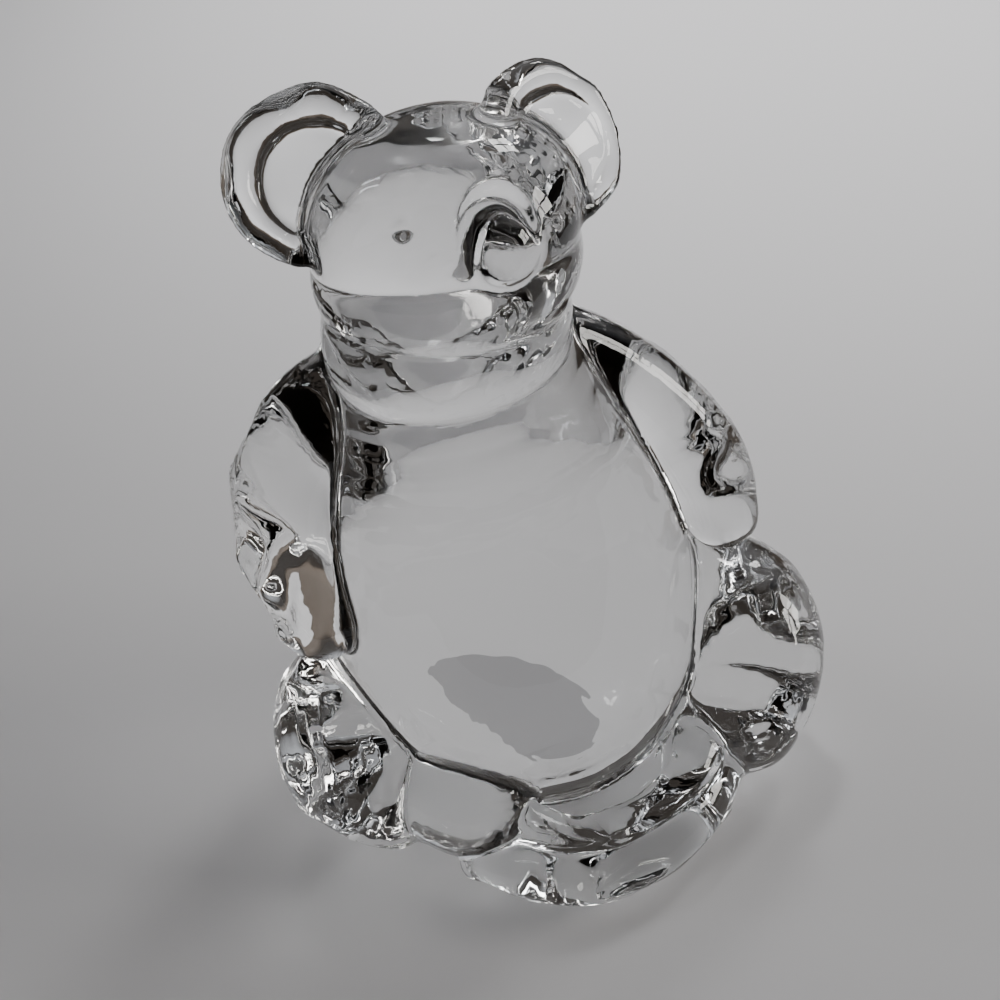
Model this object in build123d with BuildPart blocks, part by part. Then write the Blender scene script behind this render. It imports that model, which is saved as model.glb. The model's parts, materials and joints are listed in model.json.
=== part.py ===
from build123d import *
from math import cos, radians, sin
import os

os.makedirs("parts", exist_ok=True)

# A seated bear of clear hot-worked glass, in millimetres.
# Z is up, the bear faces -Y, and the origin is the middle of its ground base.
# "left" and "right" are the bear's own: its right side is at -X.

# body: one pear-shaped gather with a ground and polished base
base_radius = 14.5
belly_radius = 27.4
belly_height = 28.5
chest_radius = 21.4
chest_height = 58.0
neck_radius = 13.4
neck_height = 79.0
neck_top_radius = 9.0
neck_top_height = 86.0
body_lean = 2.4
base_heel = 1.2

# head: a slightly flattened gather set down on the neck
head_radius = 17.3
head_half_height = 15.0
head_centre = (-1.3, 0.5, 91.5)

# muzzle: a small bit pushed onto the front of the head
muzzle_radius = 5.4
muzzle_yaw = 17.0
muzzle_pitch = 17.0
muzzle_reach = 14.6

# ears: discs with a thick fire-rounded rim and a thin clear middle
ear_rim = 1.9
ear_web = 1.5
ear_right_radius = 11.4
ear_right_centre = (-15.0, 2.2, 102.6)
ear_right_yaw = -6.0
ear_left_radius = 10.7
ear_left_centre = (14.6, 1.6, 99.6)
ear_left_yaw = 29.0
ear_pitch = 36.0

# arms: a centre line and the radius of the gather at each of its points
arm_right_line = [(-13.5, 1.3, 73.0), (-26.2, 1.0, 63.5), (-30.2, -1.2, 52.0), (-29.0, -5.0, 40.5)]
arm_right_radii = [6.3, 7.6, 8.1, 6.4]
arm_left_line = [(11.0, 0.8, 71.0), (20.8, 0.2, 60.5), (27.8, -1.8, 49.0), (29.6, -5.0, 39.5)]
arm_left_radii = [5.4, 5.6, 6.1, 5.2]

# legs: long round lobes that run from the hip, over the knee, down to the shin
leg_right_centre = (-27.4, -5.7, 14.6)
leg_right_length = 29.0
leg_right_width = 21.5
leg_left_centre = (28.6, -8.8, 15.8)
leg_left_length = 33.0
leg_left_width = 22.4
leg_slope = (-0.25, -0.76, -0.60)

# feet: the right foot is a round pad, the left foot a long one curled round the front
foot_clearance = 0.4
foot_right_centre = (-16.6, -16.2, 9.2)
foot_right_width = 17.4
foot_right_length = 22.0
foot_right_heading = (0.75, -0.62, -0.10)
foot_left_line = [
    (20.5, -18.0, 8.0),
    (16.4, -26.0, 7.0),
    (8.5, -32.8, 6.5),
    (-2.5, -33.2, 5.4),
    (-12.5, -28.5, 3.7),
]
foot_left_radii = [6.9, 6.3, 6.0, 4.9, 3.1]
instep_line = [(19.5, -12.5, 6.0), (13.5, -20.0, 5.2), (3.5, -25.0, 4.8), (-8.0, -22.5, 4.4)]
instep_radii = [5.4, 4.7, 4.3, 3.9]

# a limb is lofted through this many rings, and its round ends through rings at these angles
ring_count = 9
end_angles = [30.0, 55.0, 75.0]


def limb_rings(line, radii, side):
    """Planes and radii of the rings of a rounded limb, square to its centre line."""
    centre_line = Edge.make_spline([Vector(point) for point in line])
    marks = [centre_line.param_at_point(Vector(point)) for point in line]
    rings = []
    for step in range(ring_count + 1):
        place = step / ring_count
        span = max(k for k in range(len(marks) - 1) if marks[k] <= place + 1e-6)
        share = (place - marks[span]) / (marks[span + 1] - marks[span])
        ease = share * share * (3 - 2 * share)
        radius = radii[span] + (radii[span + 1] - radii[span]) * ease
        rings.append((centre_line.position_at(place), centre_line.tangent_at(place), radius))
    first_centre, first_along, first_radius = rings[0]
    last_centre, last_along, last_radius = rings[-1]
    for angle in end_angles:
        drop = sin(radians(angle))
        ring = cos(radians(angle))
        rings.insert(0, (first_centre - first_along * first_radius * drop, first_along, first_radius * ring))
        rings.append((last_centre + last_along * last_radius * drop, last_along, last_radius * ring))
    return [(Plane(origin=c, x_dir=side.cross(a), z_dir=a), r) for c, a, r in rings]


# body, leaning a little to its right, with the base ground off level
lean_axis = Vector(-sin(radians(body_lean)), 0, cos(radians(body_lean)))
lean_plane = Plane(origin=(0, 0, 0), x_dir=(lean_axis.Z, 0, -lean_axis.X), z_dir=(0, -1, 0))
with BuildPart() as body:
    with BuildSketch(lean_plane):
        with BuildLine():
            outline = Spline(
                (base_radius, -base_heel),
                (belly_radius, belly_height),
                (chest_radius, chest_height),
                (neck_radius, neck_height),
                (neck_top_radius, neck_top_height),
                tangents=[(1, 1), (-1, 1)],
            )
            Polyline(outline @ 1, (0, neck_top_height), (0, -base_heel), outline @ 0)
        make_face()
    revolve(axis=Axis((0, 0, 0), lean_axis))
    split(bisect_by=Plane.XY, keep=Keep.TOP)
body.part.label = "body"

# head, with a seat where it sits over the neck
with BuildPart() as head_gather:
    Sphere(head_radius)
    scale(by=(1, 1, head_half_height / head_radius))

with BuildPart() as head:
    with Locations(Location(head_centre, (0, 0, 90))):
        add(head_gather.part)
    add(body.part, mode=Mode.SUBTRACT)
head.part.label = "head"

# muzzle, cut by the head that it is pressed onto
muzzle_direction = Vector(
    sin(radians(muzzle_yaw)) * cos(radians(muzzle_pitch)),
    -cos(radians(muzzle_yaw)) * cos(radians(muzzle_pitch)),
    sin(radians(muzzle_pitch)),
)
with BuildPart() as muzzle:
    with Locations(Vector(head_centre) + muzzle_direction * muzzle_reach):
        Sphere(muzzle_radius)
    add(head.part, mode=Mode.SUBTRACT)
muzzle.part.label = "muzzle"


def ear_plane(centre, yaw):
    """The plane of an ear's disc, turned out by its yaw and tipped back by the pitch."""
    facing = Vector(
        sin(radians(yaw)) * cos(radians(ear_pitch)),
        -cos(radians(yaw)) * cos(radians(ear_pitch)),
        sin(radians(ear_pitch)),
    )
    return Plane(origin=centre, z_dir=facing)


def draw_ear_half(radius):
    """Half of an ear's section: thin to the middle, with a round rim."""
    rim_middle = radius - ear_rim
    rim_start = rim_middle - ear_rim
    Polyline((rim_start, -ear_web / 2), (0, -ear_web / 2), (0, ear_web / 2), (rim_start, ear_web / 2))
    Spline(
        (rim_start, ear_web / 2),
        (rim_middle, ear_rim),
        (radius, 0),
        (rim_middle, -ear_rim),
        (rim_start, -ear_web / 2),
        tangents=[(1, 0.3), (-1, 0.3)],
    )


# ears, each cut by the head
with BuildPart() as ear_right_disc:
    with BuildSketch(Plane.XZ):
        with BuildLine():
            draw_ear_half(ear_right_radius)
        make_face()
    revolve(axis=Axis.Z)

with BuildPart() as ear_right:
    with Locations(ear_plane(ear_right_centre, ear_right_yaw)):
        add(ear_right_disc.part)
    add(head.part, mode=Mode.SUBTRACT)
ear_right.part.label = "ear_right"

with BuildPart() as ear_left_disc:
    with BuildSketch(Plane.XZ):
        with BuildLine():
            draw_ear_half(ear_left_radius)
        make_face()
    revolve(axis=Axis.Z)

with BuildPart() as ear_left:
    with Locations(ear_plane(ear_left_centre, ear_left_yaw)):
        add(ear_left_disc.part)
    add(head.part, mode=Mode.SUBTRACT)
ear_left.part.label = "ear_left"

# legs, each cut by the body
leg_left_axis = Vector(leg_slope)
leg_right_axis = Vector(-leg_left_axis.X, leg_left_axis.Y, leg_left_axis.Z)

with BuildPart() as leg_right_gather:
    Sphere(leg_right_width / 2)
    scale(by=(1, 1, leg_right_length / leg_right_width))

with BuildPart() as leg_right:
    with Locations(Plane(origin=leg_right_centre, z_dir=leg_right_axis)):
        add(leg_right_gather.part)
    split(bisect_by=Plane.XY.offset(foot_clearance), keep=Keep.TOP)
    add(body.part, mode=Mode.SUBTRACT)
leg_right.part.label = "leg_right"

with BuildPart() as leg_left_gather:
    Sphere(leg_left_width / 2)
    scale(by=(1, 1, leg_left_length / leg_left_width))

with BuildPart() as leg_left:
    with Locations(Plane(origin=leg_left_centre, z_dir=leg_left_axis)):
        add(leg_left_gather.part)
    split(bisect_by=Plane.XY.offset(foot_clearance), keep=Keep.TOP)
    add(body.part, mode=Mode.SUBTRACT)
leg_left.part.label = "leg_left"

# arms, laid along the body with the hands on the knees
with BuildPart() as arm_right:
    for plane, radius in limb_rings(arm_right_line, arm_right_radii, Vector(0, 1, 0)):
        with BuildSketch(plane):
            Circle(radius)
    loft()
    add(body.part, mode=Mode.SUBTRACT)
    add(head.part, mode=Mode.SUBTRACT)
    add(leg_right.part, mode=Mode.SUBTRACT)
arm_right.part.label = "arm_right"

with BuildPart() as arm_left:
    for plane, radius in limb_rings(arm_left_line, arm_left_radii, Vector(0, 1, 0)):
        with BuildSketch(plane):
            Circle(radius)
    loft()
    add(body.part, mode=Mode.SUBTRACT)
    add(head.part, mode=Mode.SUBTRACT)
    add(leg_left.part, mode=Mode.SUBTRACT)
arm_left.part.label = "arm_left"

# feet: the right foot lies over the tip of the left one
with BuildPart() as foot_right_gather:
    Sphere(foot_right_width / 2)
    scale(by=(1, 1, foot_right_length / foot_right_width))

with BuildPart() as foot_right:
    with Locations(Plane(origin=foot_right_centre, z_dir=foot_right_heading)):
        add(foot_right_gather.part)
    split(bisect_by=Plane.XY.offset(foot_clearance), keep=Keep.TOP)
    add(body.part, mode=Mode.SUBTRACT)
    add(leg_right.part, mode=Mode.SUBTRACT)
foot_right.part.label = "foot_right"

with BuildPart() as instep:
    for plane, radius in limb_rings(instep_line, instep_radii, Vector(0, 0, 1)):
        with BuildSketch(plane):
            Circle(radius)
    loft()

with BuildPart() as foot_left:
    for plane, radius in limb_rings(foot_left_line, foot_left_radii, Vector(0, 0, 1)):
        with BuildSketch(plane):
            Circle(radius)
    loft()
    add(instep.part)
    split(bisect_by=Plane.XY.offset(foot_clearance), keep=Keep.TOP)
    add(body.part, mode=Mode.SUBTRACT)
    add(leg_left.part, mode=Mode.SUBTRACT)
    add(foot_right.part, mode=Mode.SUBTRACT)
foot_left.part.label = "foot_left"

pieces = [body, head, muzzle, ear_right, ear_left, arm_right, arm_left, leg_right, leg_left, foot_right, foot_left]
for piece in pieces:
    export_step(piece.part, f"parts/{piece.part.label}.step")
    print(piece.part.label, len(piece.part.solids()), round(piece.part.volume))
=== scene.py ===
import json
import math

import bpy
from mathutils import Matrix, Vector

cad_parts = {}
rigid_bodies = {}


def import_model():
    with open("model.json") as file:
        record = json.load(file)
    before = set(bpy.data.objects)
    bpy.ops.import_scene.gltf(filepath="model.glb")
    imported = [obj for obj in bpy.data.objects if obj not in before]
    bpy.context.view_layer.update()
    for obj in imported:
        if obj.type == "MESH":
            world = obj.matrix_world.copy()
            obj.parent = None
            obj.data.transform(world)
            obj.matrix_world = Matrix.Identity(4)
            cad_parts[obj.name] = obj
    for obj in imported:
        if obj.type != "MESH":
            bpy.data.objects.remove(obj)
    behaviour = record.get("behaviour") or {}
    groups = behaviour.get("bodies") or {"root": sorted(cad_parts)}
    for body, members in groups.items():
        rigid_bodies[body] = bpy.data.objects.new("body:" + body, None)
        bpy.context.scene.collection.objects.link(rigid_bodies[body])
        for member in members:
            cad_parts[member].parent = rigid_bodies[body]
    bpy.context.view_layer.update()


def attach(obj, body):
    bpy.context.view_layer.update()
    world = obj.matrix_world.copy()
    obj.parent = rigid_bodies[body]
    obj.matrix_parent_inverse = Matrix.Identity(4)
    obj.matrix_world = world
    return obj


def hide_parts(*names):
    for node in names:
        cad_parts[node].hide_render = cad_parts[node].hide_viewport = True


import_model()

mm = 0.001


# camera

cameraSetup = {
    "aim": (-0.59, 0.0, 47.84),      # mm
    "distance": 260.0,
    "azimuth": -6.0,
    "elevation": 40.0,
    "roll": -11.0,
    "fieldOfView": 30.0,
}


def addCamera(setup):
    azimuth = math.radians(setup["azimuth"])
    elevation = math.radians(setup["elevation"])
    roll = math.radians(setup["roll"])
    back = Vector((
        math.sin(azimuth) * math.cos(elevation),
        -math.cos(azimuth) * math.cos(elevation),
        math.sin(elevation),
    ))
    level = Vector((0, 0, 1)).cross(back).normalized()
    upright = back.cross(level)
    right = level * math.cos(roll) + upright * math.sin(roll)
    up = upright * math.cos(roll) - level * math.sin(roll)
    place = (Vector(setup["aim"]) + back * setup["distance"]) * mm
    bpy.ops.object.camera_add(location=place)
    camera = bpy.context.object
    camera.name = "camera"
    turn = Matrix((right, up, back)).transposed()
    camera.matrix_world = Matrix.Translation(place) @ turn.to_4x4()
    camera.data.angle = math.radians(setup["fieldOfView"])
    camera.data.clip_start = 0.01
    bpy.context.scene.camera = camera


addCamera(cameraSetup)
print("camera ready")


# glass

glassLook = {
    "tint": (0.985, 0.992, 0.992, 1.0),
    "ior": 1.50,
    "roughness": 0.0,
    "rippleScale": 75.0,         # per metre
    "rippleDepth": 0.00006,
    "shadeSpot": (-0.0004, 0.0200, 0.0060),     # a grey, rough oval low on the back, in metres: its grey is painted shade for the shadowed paper under the base seen through the glass
    "spotTurn": (-34.5, -20.0),                  # tipped along the back, then swung round on it
    "spotSize": (0.0026, 0.0080, 0.0074),
    # the oval's grey: painted shade
    "shadeTint": (0.30, 0.30, 0.31, 1.0),
    "spotRoughness": 0.35,
}
baseLook = {
    "tint": (0.80, 0.80, 0.81, 1.0),
    "roughness": 0.12,
}
shadowPass = 0.30                # share of a shadow's light that the clear glass lets through


def newMaterial(name):
    material = bpy.data.materials.new(name)
    material.use_nodes = True
    return material, material.node_tree.nodes, material.node_tree.links


def passShadows(nodes, links, surface):
    # light reaches the paper under clear glass
    clear = nodes.new("ShaderNodeBsdfTransparent")
    mix = nodes.new("ShaderNodeMixShader")
    path = nodes.new("ShaderNodeLightPath")
    share = nodes.new("ShaderNodeMath")
    share.operation = "MULTIPLY"
    share.inputs[1].default_value = shadowPass
    links.new(path.outputs["Is Shadow Ray"], share.inputs[0])
    links.new(share.outputs["Value"], mix.inputs["Fac"])
    links.new(surface, mix.inputs[1])
    links.new(clear.outputs["BSDF"], mix.inputs[2])
    links.new(mix.outputs["Shader"], nodes["Material Output"].inputs["Surface"])


def addOval(nodes, links, place, look):
    # 1 inside the painted shade oval and 0 outside it
    tip, swing = (math.radians(angle) for angle in look["spotTurn"])
    turn = Matrix.Rotation(tip, 3, "X") @ Matrix.Rotation(swing, 3, "Y")
    oval = nodes.new("ShaderNodeMapping")
    oval.vector_type = "TEXTURE"
    oval.inputs["Location"].default_value = look["shadeSpot"]
    oval.inputs["Rotation"].default_value = turn.to_euler()
    oval.inputs["Scale"].default_value = look["spotSize"]
    reach = nodes.new("ShaderNodeVectorMath")
    reach.operation = "LENGTH"
    inside = nodes.new("ShaderNodeMath")
    inside.operation = "LESS_THAN"
    inside.inputs[1].default_value = 1.0
    links.new(place.outputs["Object"], oval.inputs["Vector"])
    links.new(oval.outputs["Vector"], reach.inputs[0])
    links.new(reach.outputs["Value"], inside.inputs[0])
    return inside.outputs["Value"]


def setGlass(shader, tint, roughness, ior):
    shader.inputs["Base Color"].default_value = tint
    shader.inputs["Transmission Weight"].default_value = 1.0
    shader.inputs["Roughness"].default_value = roughness
    shader.inputs["IOR"].default_value = ior


def makeCrystal(look):
    material, nodes, links = newMaterial("crystal")
    shader = nodes["Principled BSDF"]
    setGlass(shader, look["tint"], look["roughness"], look["ior"])
    place = nodes.new("ShaderNodeTexCoord")
    ripple = nodes.new("ShaderNodeTexNoise")
    ripple.inputs["Scale"].default_value = look["rippleScale"]
    ripple.inputs["Detail"].default_value = 1.0
    bump = nodes.new("ShaderNodeBump")
    bump.inputs["Distance"].default_value = look["rippleDepth"]
    links.new(place.outputs["Object"], ripple.inputs["Vector"])
    links.new(ripple.outputs["Fac"], bump.inputs["Height"])
    links.new(bump.outputs["Normal"], shader.inputs["Normal"])
    # painted shade: inside the oval, a grey, rougher glass stands in for the shadowed paper under the base
    ground = nodes.new("ShaderNodeBsdfPrincipled")
    setGlass(ground, look["shadeTint"], look["spotRoughness"], look["ior"])
    mix = nodes.new("ShaderNodeMixShader")
    links.new(addOval(nodes, links, place, look), mix.inputs["Fac"])
    links.new(shader.outputs["BSDF"], mix.inputs[1])
    links.new(ground.outputs["BSDF"], mix.inputs[2])
    passShadows(nodes, links, mix.outputs["Shader"])
    return material


def makeGroundBase(look):
    material, nodes, links = newMaterial("ground base")
    shader = nodes["Principled BSDF"]
    setGlass(shader, look["tint"], look["roughness"], glassLook["ior"])
    passShadows(nodes, links, shader.outputs["BSDF"])
    return material


def makeFusedSeam():
    # two bits fused hot leave nothing for light to bend at
    material, nodes, links = newMaterial("fused seam")
    nodes.remove(nodes["Principled BSDF"])
    clear = nodes.new("ShaderNodeBsdfTransparent")
    links.new(clear.outputs["BSDF"], nodes["Material Output"].inputs["Surface"])
    return material


crystal = makeCrystal(glassLook)
groundBase = makeGroundBase(baseLook)
fusedSeam = makeFusedSeam()


# tools for working the gathers

def deselectAll():
    bpy.ops.object.select_all(action="DESELECT")


def pick(piece):
    deselectAll()
    piece.select_set(True)
    bpy.context.view_layer.objects.active = piece


def joinAs(name, parts):
    deselectAll()
    for part in parts:
        part.select_set(True)
    bpy.context.view_layer.objects.active = parts[0]
    if len(parts) > 1:
        bpy.ops.object.join()
    piece = bpy.context.object
    piece.name = name
    return piece


def copyOf(piece, name):
    pick(piece)
    bpy.ops.object.duplicate()
    twin = bpy.context.object
    twin.name = name
    return twin


def applyModifier(piece, kind, **settings):
    pick(piece)
    modifier = piece.modifiers.new("step", kind)
    for key, value in settings.items():
        setattr(modifier, key, value)
    bpy.ops.object.modifier_apply(modifier="step")


def addBall(centre, size, turn=(0, 0, 0), segments=32):
    bpy.ops.mesh.primitive_uv_sphere_add(
        segments=segments,
        ring_count=segments // 2,
        radius=1.0,
        location=Vector(centre) * mm,
        rotation=[math.radians(angle) for angle in turn],
        scale=Vector(size) * mm,
    )
    bpy.ops.object.transform_apply(location=True, rotation=True, scale=True)
    return bpy.context.object


def between(values, place):
    # a smooth curve through a list of vectors or numbers, place from 0 to 1
    last = len(values) - 1
    step = min(int(place * last), last - 1)
    share = place * last - step
    a, b = values[step], values[step + 1]
    before = values[max(step - 1, 0)]
    after = values[min(step + 2, last)]
    bow = 0.5 * share * (1 - share)
    return (
        b * share + a * (1 - share)
        + ((a - before) * (1 - share) - (after - b) * share) * bow
        - (b - a) * (1 - 2 * share) * bow
    )


def pressFlat(ball, point, facing):
    # press one side of a ball flat
    pick(ball)
    bpy.ops.object.mode_set(mode="EDIT")
    bpy.ops.mesh.select_all(action="SELECT")
    bpy.ops.mesh.bisect(plane_co=point * mm, plane_no=facing, clear_outer=True, use_fill=True)
    bpy.ops.object.mode_set(mode="OBJECT")


behindAngle = 40.0               # degrees below level: behind the limbs, as seen from the front and above


def drawLimb(route, radii, count, deep=1.0, facet=None):
    # a bit of hot glass drawn out along its route, as closely spaced balls, each pressed deeper behind
    points = [Vector(point) for point in route]
    slope = math.radians(behindAngle)
    behind = Vector((0, math.cos(slope), -math.sin(slope)))
    balls = []
    for k in range(count):
        place = k / (count - 1)
        radius = between(radii, place)
        centre = between(points, place) + behind * radius * (deep - 1)
        ball = addBall(centre, (radius, radius * deep, radius), (-behindAngle, 0, 0))
        if facet:
            facing = Vector(facet[:3]).normalized()
            pressFlat(ball, centre + facing * radius * facet[3], facing)
        balls.append(ball)
    return balls


# body: rings extruded upward from a disc, going on below the level it is ground off at

bodyShape = {
    "belowBase": -3.0,
    "rings": [
        (0.0, 14.0), (3.0, 17.4), (8.0, 21.6), (15.0, 25.2), (24.0, 27.2), (33.0, 27.3), (42.0, 25.9),
        (51.0, 24.0), (60.0, 21.8), (69.0, 19.2), (77.0, 16.4), (84.0, 13.0), (87.0, 9.0),
    ],
    "startInset": 3.0,           # the first disc is this much smaller than the first ring
    "lean": 2.4,
    "stoop": 3.2,                # how far the middle of the back sits behind the base
    "stoopHeight": 110.0,
}


def makeBody(shape):
    lean = math.tan(math.radians(shape["lean"]))
    start = shape["belowBase"]
    radius = shape["rings"][0][1] - shape["startInset"]
    bpy.ops.mesh.primitive_circle_add(
        vertices=72, radius=radius * mm, fill_type="NGON", location=(0, 0, start * mm)
    )
    bpy.ops.object.transform_apply(location=True)
    bpy.ops.object.mode_set(mode="EDIT")
    bpy.ops.mesh.select_all(action="SELECT")
    height, width = start, radius
    centre = Vector((0, 0, start))
    sweep = math.pi / shape["stoopHeight"]
    for ringHeight, ringRadius in shape["rings"]:
        rise = ringHeight - height
        slump = math.sin(sweep * ringHeight) - math.sin(sweep * max(height, 0))
        move = Vector((-lean * rise, shape["stoop"] * slump, rise))
        centre = centre + move
        bpy.ops.mesh.extrude_region_move(TRANSFORM_OT_translate={"value": move * mm})
        ratio = ringRadius / width
        bpy.ops.transform.resize(value=(ratio, ratio, 1.0), center_override=centre * mm)
        height, width = ringHeight, ringRadius
    bpy.ops.mesh.select_all(action="SELECT")
    bpy.ops.mesh.normals_make_consistent(inside=False)
    bpy.ops.object.mode_set(mode="OBJECT")
    body = bpy.context.object
    applyModifier(body, "SUBSURF", levels=2, render_levels=2)
    body.name = "body_gather"
    return body


# head: a round block, fuller at the cheeks, the jaw and the nape

headShape = {
    "crown": ((-0.9, 0.5, 94.0), (17.6, 16.0, 13.4)),
    "cheeks": ((-1.5, -0.6, 88.5), (17.3, 15.8, 12.5)),
    "jaw": ((-3.2, -2.5, 80.5), (16.2, 13.2, 14.5)),
    "nape": ((-2.4, 4.4, 84.0), (13.6, 13.0, 13.0)),
}
muzzleShape = {"centre": (3.5, -11.0, 95.6), "size": (5.6, 5.6, 5.6)}


def makeHead(shape):
    balls = [addBall(centre, size, segments=64) for centre, size in shape.values()]
    return joinAs("head_gather", balls)


# ears: a rim drawn round a pinched disc, thickest over the top

earShapes = {
    "ear_right": {
        "centre": (-15.0, 2.2, 102.6), "radius": 9.2, "yaw": -6.0, "pitch": 36.0, "web": 0.8,
        "rim": [2.1, 2.4, 2.5, 2.5, 2.5, 2.3, 1.9, 1.9, 2.1],
    },
    "ear_left": {
        "centre": (14.6, 1.6, 99.6), "radius": 8.7, "yaw": 29.0, "pitch": 36.0, "web": 0.8,
        "rim": [1.0, 1.6, 2.5, 2.7, 2.6, 2.4, 1.6, 1.0, 1.0],
    },
}


earWork = {
    "balls": 60,
    "outward": 0.74, "backward": 0.67,           # which way each ball of the rim is pressed flat
    "flat": 0.4,                                 # how far out the flat is, as a share of the ball
}


def makeEar(name, shape):
    yaw, pitch = math.radians(shape["yaw"]), math.radians(shape["pitch"])
    facing = Vector((math.sin(yaw) * math.cos(pitch), -math.cos(yaw) * math.cos(pitch), math.sin(pitch)))
    across = Vector((0, 0, 1)).cross(facing).normalized()
    upward = facing.cross(across)
    centre = Vector(shape["centre"])
    parts = []
    count = earWork["balls"]
    for k in range(count):
        angle = 2 * math.pi * k / count
        radius = between(shape["rim"], k / count)
        spot = centre + (across * math.cos(angle) + upward * math.sin(angle)) * shape["radius"]
        ball = addBall(spot, (radius, radius, radius), segments=24)
        outward = (spot - centre).normalized()
        slant = (outward * earWork["outward"] - facing * earWork["backward"]).normalized()
        pressFlat(ball, spot + slant * radius * earWork["flat"], slant)
        parts.append(ball)
    turn = [math.degrees(angle) for angle in facing.to_track_quat("Z", "Y").to_euler()]
    parts.append(addBall(centre, (shape["radius"], shape["radius"], shape["web"]), turn, segments=64))
    return joinAs(name + "_gather", parts)


# limbs, in mm: a route and the thickness along it

limbShapes = {
    "arm_right": {
        "route": [
            (-12.5, 1.5, 74.0), (-22.0, 1.4, 68.5), (-28.3, 0.6, 60.0), (-30.6, -1.2, 50.5),
            (-28.8, -5.0, 40.5),
        ],
        "radii": [6.0, 7.3, 8.0, 8.0, 6.6], "count": 26, "deep": 1.0,
        "facet": (-0.80, 0.46, -0.38, 0.32),
    },
    "arm_left": {
        "route": [
            (9.5, 0.8, 73.0), (17.0, 0.6, 66.0), (24.0, -0.3, 56.5), (28.6, -2.4, 47.0), (29.6, -5.2, 39.5),
        ],
        "radii": [5.0, 5.5, 6.0, 6.2, 5.3], "count": 28, "deep": 1.0,
        "facet": (0.74, 0.51, -0.43, 0.5),
    },
    "leg_right": {
        "route": [(-23.5, 2.5, 19.0), (-28.5, -3.0, 18.5), (-29.3, -8.0, 15.0), (-26.5, -11.5, 11.0)],
        "radii": [9.8, 11.2, 11.3, 9.5], "count": 16, "deep": 1.1,
        "facet": (-0.74, 0.51, -0.43, 0.6),
    },
    "leg_left": {
        "route": [(26.0, 1.5, 19.0), (30.3, -5.0, 19.6), (30.6, -11.0, 15.0), (26.8, -16.8, 10.6)],
        "radii": [9.8, 11.2, 10.6, 8.9], "count": 16, "deep": 1.1,
        "facet": (0.74, 0.51, -0.43, 0.6),
    },
    "foot_right": {
        "route": [(-18.5, -14.0, 11.0), (-16.0, -17.0, 11.0), (-13.5, -18.5, 10.5)],
        "radii": [8.6, 9.2, 8.4], "count": 10, "deep": 1.1,
    },
    "foot_left": {
        "route": [
            (20.5, -17.0, 7.5), (16.4, -25.3, 6.0), (8.2, -31.3, 5.4), (-1.7, -32.8, 5.0),
            (-9.5, -29.2, 4.5), (-16.0, -24.0, 3.4),
        ],
        "radii": [6.5, 5.4, 5.0, 4.7, 4.1, 2.6], "count": 44, "deep": 1.1,
    },
}
ridgeShape = {                   # the fold along the top of the left foot
    "route": [
        (21.0, -16.0, 11.5), (16.6, -24.5, 10.6), (7.6, -29.6, 9.8), (-1.5, -29.8, 9.4), (-8.5, -23.5, 9.6),
    ],
    "radii": [4.2, 3.5, 3.1, 2.9, 2.6], "count": 44, "deep": 1.0,
}
instepShape = {
    "route": [(18.5, -11.5, 6.0), (12.5, -19.5, 5.0), (2.5, -24.5, 4.6), (-8.5, -22.0, 4.4)],
    "radii": [5.4, 4.5, 4.1, 3.9], "count": 24, "deep": 1.3,
}


def ballsOf(shape):
    return drawLimb(shape["route"], shape["radii"], shape["count"], shape["deep"], shape.get("facet"))


gathers = {}
gathers["body"] = makeBody(bodyShape)
gathers["head"] = makeHead(headShape)
muzzleBall = addBall(muzzleShape["centre"], muzzleShape["size"], segments=48)
gathers["muzzle"] = joinAs("muzzle_gather", [muzzleBall])
for earName, earShape in earShapes.items():
    gathers[earName] = makeEar(earName, earShape)
for limbName, limbShape in limbShapes.items():
    balls = ballsOf(limbShape)
    if limbName == "foot_left":
        balls += ballsOf(instepShape) + ballsOf(ridgeShape)
    gathers[limbName] = joinAs(limbName + "_gather", balls)
print("gathers drawn")


# carving: the crease over the muzzle and the two eye dimples

carving = {
    "crease": [
        (-1.0, -15.4, 96.0), (-0.2, -14.6, 98.7), (1.2, -13.1, 101.0), (2.9, -11.9, 102.0),
        (5.1, -11.3, 101.9), (7.0, -11.9, 100.1), (7.9, -12.9, 97.2),
    ],
    "creaseRadii": [1.0, 1.5, 1.8, 1.9, 1.8, 1.5, 0.9],
    "creaseBalls": 40,
    "eyes": [((-7.4, -12.5, 102.0), 1.7), ((11.6, -12.0, 96.2), 1.7)],
    "voxel": 0.25 * mm,
}


def makeCarver(shape):
    balls = drawLimb(shape["crease"], shape["creaseRadii"], shape["creaseBalls"])
    for centre, radius in shape["eyes"]:
        balls.append(addBall(centre, (radius, radius, radius)))
    carver = joinAs("carver", balls)
    applyModifier(carver, "REMESH", mode="VOXEL", voxel_size=shape["voxel"])
    return carver


# the fused skin: every gather melted into one surface, carved, fire-polished and ground flat

skinWork = {
    "voxel": 0.45 * mm,
    "polishPasses": 5,
    "flowSize": 11.0 * mm,
    "flowDepth": 0.18 * mm,
    "foldSize": 5.5 * mm,
    "foldDepth": 5.0 * mm,
    "foldSmoothing": 3,
    "creaseAngle": 50.0,
}
foldZone = {                     # mm
    "neckHeight": 76.0,          # above it only the ears are folded
    "headCentre": (-1.0, 91.0),  # seen from the front
    "headRadius": 18.5,
    "clear": 3.5,                # no folds closer to the body than this
    "fade": 4.0,
    "start": 0.35,               # how far the folds reach round from behind
    "behind": (0.0, 0.76, -0.64),
}
grinding = {                     # mm
    "limbLevel": 0.4,
    "baseRadius": 15.0,
    "blockSize": (200.0, 200.0, 20.0),
}


def bodyRadius(height):
    # the body's own radius at a height
    rings = bodyShape["rings"]
    for (low, lowRadius), (high, highRadius) in zip(rings, rings[1:]):
        if height <= high:
            return lowRadius + (highRadius - lowRadius) * max(height - low, 0.0) / (high - low)
    return rings[-1][1]


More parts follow.
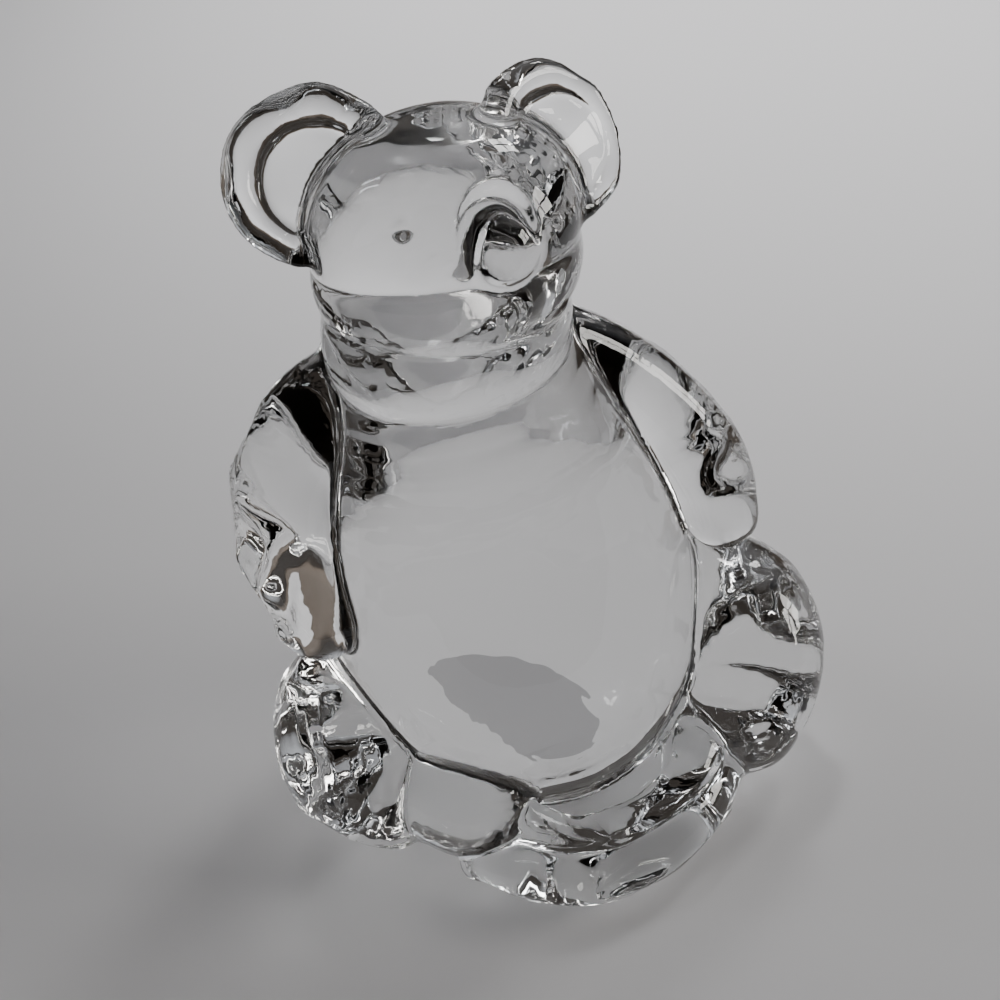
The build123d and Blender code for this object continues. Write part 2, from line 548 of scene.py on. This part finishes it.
def weighFolds(skin):
    # hand-worked limbs are smooth in front and uneven where they were pressed on behind
    group = skin.vertex_groups.new(name="folds")
    lean = math.tan(math.radians(bodyShape["lean"]))
    headX, headZ = foldZone["headCentre"]
    backward = Vector(foldZone["behind"])
    levels = {}                  # tenths of full weight, each with its vertices
    for vertex in skin.data.vertices:
        spot = vertex.co / mm
        if spot.z > foldZone["neckHeight"]:
            if math.hypot(spot.x - headX, spot.z - headZ) > foldZone["headRadius"]:
                levels.setdefault(1, []).append(vertex.index)
            continue
        out = math.hypot(spot.x + lean * spot.z, spot.y) - bodyRadius(spot.z)
        weight = min(max((out - foldZone["clear"]) / foldZone["fade"], 0.0), 1.0)
        behind = foldZone["start"] + vertex.normal.dot(backward)
        level = round(10 * weight * min(max(behind, 0.0), 1.0))
        if level > 0:
            levels.setdefault(level, []).append(vertex.index)
    for level, members in levels.items():
        group.add(members, level / 10, "REPLACE")


def makeBlock(top, material):
    size = Vector(grinding["blockSize"]) * mm
    bpy.ops.mesh.primitive_cube_add(size=1.0, location=(0, 0, top * mm - size.z / 2))
    block = bpy.context.object
    block.scale = size
    bpy.ops.object.transform_apply(location=True, rotation=True, scale=True)
    block.data.materials.append(material)
    return block


def grindFlat(skin):
    # limbs end just clear of the table, and the body stands on its ground base
    limbBlock = makeBlock(grinding["limbLevel"], crystal)
    holeDepth = grinding["blockSize"][2] * mm
    bpy.ops.mesh.primitive_cylinder_add(vertices=128, radius=grinding["baseRadius"] * mm, depth=holeDepth)
    hole = bpy.context.object
    hole.data.materials.append(crystal)
    applyModifier(limbBlock, "BOOLEAN", operation="DIFFERENCE", solver="MANIFOLD", object=hole)
    baseBlock = makeBlock(0.0, groundBase)
    for block in (limbBlock, baseBlock):
        applyModifier(
            skin, "BOOLEAN", operation="DIFFERENCE", solver="MANIFOLD", object=block, material_mode="TRANSFER"
        )
    for cutter in (limbBlock, hole, baseBlock):
        bpy.data.objects.remove(cutter)


def makeSkin(work):
    skin = joinAs("skin", [copyOf(gather, "melt") for gather in gathers.values()])
    applyModifier(skin, "REMESH", mode="VOXEL", voxel_size=work["voxel"])
    carver = makeCarver(carving)
    applyModifier(skin, "BOOLEAN", operation="DIFFERENCE", solver="MANIFOLD", object=carver)
    bpy.data.objects.remove(carver)
    applyModifier(skin, "REMESH", mode="VOXEL", voxel_size=work["voxel"])
    applyModifier(skin, "SMOOTH", factor=0.5, iterations=work["polishPasses"])
    flow = bpy.data.textures.new("flow", "CLOUDS")
    flow.noise_scale = work["flowSize"]
    applyModifier(
        skin, "DISPLACE", texture=flow, texture_coords="LOCAL", strength=work["flowDepth"], mid_level=0.5
    )
    weighFolds(skin)
    folds = bpy.data.textures.new("folds", "CLOUDS")
    folds.noise_scale = work["foldSize"]
    folds.noise_depth = 0
    applyModifier(
        skin, "DISPLACE", texture=folds, texture_coords="LOCAL",
        strength=work["foldDepth"], mid_level=0.55, vertex_group="folds",
    )
    applyModifier(skin, "SMOOTH", factor=0.5, iterations=work["foldSmoothing"])
    skin.data.materials.clear()
    for material in (crystal, fusedSeam, groundBase):
        skin.data.materials.append(material)
    grindFlat(skin)
    bpy.ops.object.shade_smooth_by_angle(angle=math.radians(work["creaseAngle"]))
    return skin


skin = makeSkin(skinWork)
print("skin polished", len(skin.data.polygons))


# taking the fused skin apart again, one bit at a time, along the old seams

partingOrder = {                 # each bit's growth, in mm, so that its cut takes in all of its glass
    "body": 1.5, "head": 1.5, "muzzle": 4.0, "ear_right": 4.0, "ear_left": 4.0, "leg_right": 1.5,
    "foot_right": 1.5, "leg_left": 1.5, "foot_left": 4.0, "arm_right": 5.0, "arm_left": 5.0,
}


regionWork = {"voxel": 0.8 * mm, "smoothing": 6}


def makeRegion(name, growth):
    region = copyOf(gathers[name], "region")
    applyModifier(region, "REMESH", mode="VOXEL", voxel_size=regionWork["voxel"])
    applyModifier(region, "DISPLACE", strength=growth * mm, mid_level=0.0)
    applyModifier(region, "REMESH", mode="VOXEL", voxel_size=regionWork["voxel"])
    applyModifier(region, "SMOOTH", factor=0.5, iterations=regionWork["smoothing"])
    region.data.materials.clear()
    region.data.materials.append(fusedSeam)
    return region


def sweepCrumbs(piece):
    # keep what hangs together with the largest face, and drop any loose bits
    largest = max(piece.data.polygons, key=lambda face: face.area).index
    pick(piece)
    bpy.ops.object.mode_set(mode="EDIT")
    bpy.ops.mesh.select_all(action="DESELECT")
    bpy.ops.object.mode_set(mode="OBJECT")
    piece.data.polygons[largest].select = True
    bpy.ops.object.mode_set(mode="EDIT")
    bpy.ops.mesh.select_mode(type="FACE")
    bpy.ops.mesh.select_linked()
    bpy.ops.mesh.select_all(action="INVERT")
    bpy.ops.mesh.delete(type="FACE")
    bpy.ops.object.mode_set(mode="OBJECT")


pieces = {}
rest = copyOf(skin, "rest")
for name, growth in partingOrder.items():
    region = makeRegion(name, growth)
    piece = copyOf(rest, name + "_glass")
    cut = {"solver": "MANIFOLD", "object": region, "material_mode": "TRANSFER"}
    applyModifier(piece, "BOOLEAN", operation="INTERSECT", **cut)
    applyModifier(rest, "BOOLEAN", operation="DIFFERENCE", **cut)
    bpy.data.objects.remove(region)
    sweepCrumbs(piece)
    pieces[name] = piece
    print("parted", name, len(piece.data.polygons), "left", len(rest.data.polygons))
bpy.data.objects.remove(rest)

for name, piece in pieces.items():
    applyModifier(
        piece, "DATA_TRANSFER", object=skin, use_loop_data=True,
        data_types_loops={"CUSTOM_NORMAL"}, loop_mapping="POLYINTERP_NEAREST",
    )
    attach(piece, "root")
    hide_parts(name)
bpy.data.objects.remove(skin)
for gather in gathers.values():
    bpy.data.objects.remove(gather)
print("pieces parted")


# paper, world and light

sheetLooks = {                   # metres
    "paper": {
        "colour": (0.70, 0.695, 0.71, 1), "size": (0.30, 0.44), "centre": (0.040, 0.130), "height": -0.00005,
    },
    "table": {
        "colour": (0.10, 0.075, 0.055, 1), "size": (3.0, 3.0), "centre": (0, 0), "height": -0.0008,
    },
}


def makeSheet(name, look):
    bpy.ops.mesh.primitive_plane_add(size=1.0, location=(*look["centre"], look["height"]))
    sheet = bpy.context.object
    sheet.name = name
    sheet.scale = (*look["size"], 1)
    bpy.ops.object.transform_apply(location=False, rotation=False, scale=True)
    material, nodes, links = newMaterial(name)
    nodes["Principled BSDF"].inputs["Base Color"].default_value = look["colour"]
    nodes["Principled BSDF"].inputs["Roughness"].default_value = 0.9
    sheet.data.materials.append(material)


for sheetName, sheetLook in sheetLooks.items():
    makeSheet(sheetName, sheetLook)

worldLook = {
    "windowSide": (0.60, 0.50, 0.60),
    "dark": (0.030, 0.025, 0.021, 1), "dim": (0.055, 0.050, 0.046, 1), "bright": (0.7, 0.72, 0.76, 1),
    "strength": 1.0,
}


def makeWorld(look):
    # a dim room, brighter towards its window side
    world = bpy.data.worlds.new("room")
    bpy.context.scene.world = world
    world.use_nodes = True
    nodes, links = world.node_tree.nodes, world.node_tree.links
    place = nodes.new("ShaderNodeTexCoord")
    facing = nodes.new("ShaderNodeVectorMath")
    facing.operation = "DOT_PRODUCT"
    facing.inputs[1].default_value = Vector(look["windowSide"]).normalized()
    lift = nodes.new("ShaderNodeMapRange")
    lift.inputs["From Min"].default_value = -1.0
    ramp = nodes.new("ShaderNodeValToRGB")
    stops = ramp.color_ramp.elements
    stops[0].color = look["dark"]
    stops[0].position = 0.25
    stops[1].color = look["bright"]
    stops[1].position = 0.985
    middle = stops.new(0.90)
    middle.color = look["dim"]
    links.new(place.outputs["Generated"], facing.inputs[0])
    links.new(facing.outputs["Value"], lift.inputs["Value"])
    links.new(lift.outputs["Result"], ramp.inputs["Fac"])
    links.new(ramp.outputs["Color"], nodes["Background"].inputs["Color"])
    nodes["Background"].inputs["Strength"].default_value = look["strength"]


makeWorld(worldLook)

windows = {                      # metres and watts for each pane
    "back": {
        "place": (0.85, 0.62, 0.95), "aim": (0, 0, 0.05), "power": 0.9, "colour": (1.0, 0.99, 0.97),
        "pane": (0.11, 0.14), "gap": 0.02, "grid": (2, 2),
    },
    "side": {
        "place": (0.60, -0.15, 0.21), "aim": (0, 0, 0.05), "power": 0.62, "colour": (1.0, 0.97, 0.93),
        "pane": (0.12, 0.12), "gap": 0.018, "grid": (2, 2),
    },
    "tall": {
        "place": (-0.70, 0.45, 1.15), "aim": (0, 0, 0.05), "power": 0.5, "colour": (0.93, 0.96, 1.0),
        "pane": (0.035, 0.34), "gap": 0.10, "grid": (2, 1),
    },
}
washLook = {"place": (0.15, 0.62, 0.85), "aim": (0.13, 0.28, 0), "cone": 36.0, "power": 42.0, "size": 0.10}


def addWindow(setup):
    place = Vector(setup["place"])
    facing = (place - Vector(setup["aim"])).normalized()
    turn = facing.to_track_quat("Z", "Y")
    width, height = setup["pane"]
    columns, rows = setup["grid"]
    for column in range(columns):
        for row in range(rows):
            across = (column - (columns - 1) / 2) * (width + setup["gap"])
            upward = (row - (rows - 1) / 2) * (height + setup["gap"])
            spot = place + turn @ Vector((across, upward, 0))
            bpy.ops.object.light_add(type="AREA", location=spot, rotation=turn.to_euler())
            pane = bpy.context.object
            pane.data.shape = "RECTANGLE"
            pane.data.size = width
            pane.data.size_y = height
            pane.data.energy = setup["power"]
            pane.data.color = setup["colour"]


def addWash(look):
    # brightens the far side of the paper
    place = Vector(look["place"])
    turn = (place - Vector(look["aim"])).to_track_quat("Z", "Y")
    bpy.ops.object.light_add(type="SPOT", location=place, rotation=turn.to_euler())
    wash = bpy.context.object
    wash.data.energy = look["power"]
    wash.data.spot_size = math.radians(look["cone"])
    wash.data.spot_blend = 1.0
    wash.data.shadow_soft_size = look["size"]


for window in windows.values():
    addWindow(window)
addWash(washLook)
print("lights ready")
